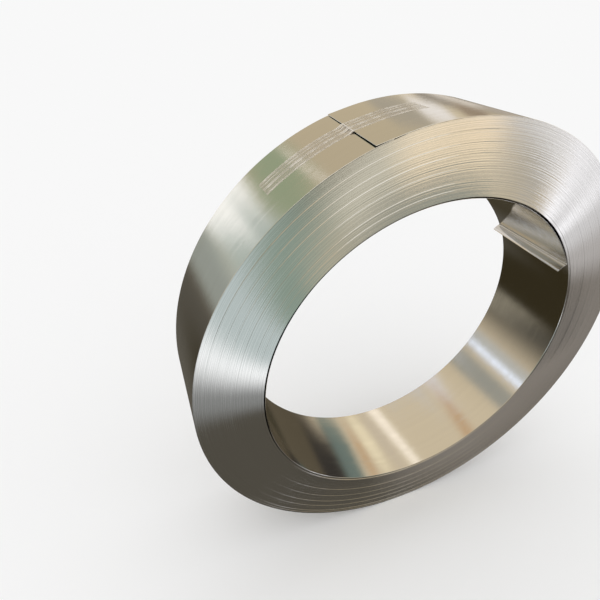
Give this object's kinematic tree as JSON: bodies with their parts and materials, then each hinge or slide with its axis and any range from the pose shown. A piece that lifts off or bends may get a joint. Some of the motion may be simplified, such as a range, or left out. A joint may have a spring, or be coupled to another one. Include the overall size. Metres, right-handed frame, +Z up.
{
  "type": "steel strip coil",
  "caption": "Narrow ring-shaped coil of bright slit steel strip, standing on its rim, with a bent inner lip and a taped outer tail; raw stock for stamping or roll forming.",
  "frame": {"origin": "middle of the coil: on its axis, halfway between its two ends", "axes": "+Y along the coil's axis from the front end to the back end, +Z up, +X to the right as seen from the front end"},
  "size_m": [0.6944, 0.1454, 0.6947],
  "materials": {
    "strip_steel": "bright cold-rolled",
    "packing_tape": "clear film over fibre strands"
  },
  "bodies": {
    "root": {"coil": "strip_steel", "tape": "packing_tape"}
  },
  "joints": []
}
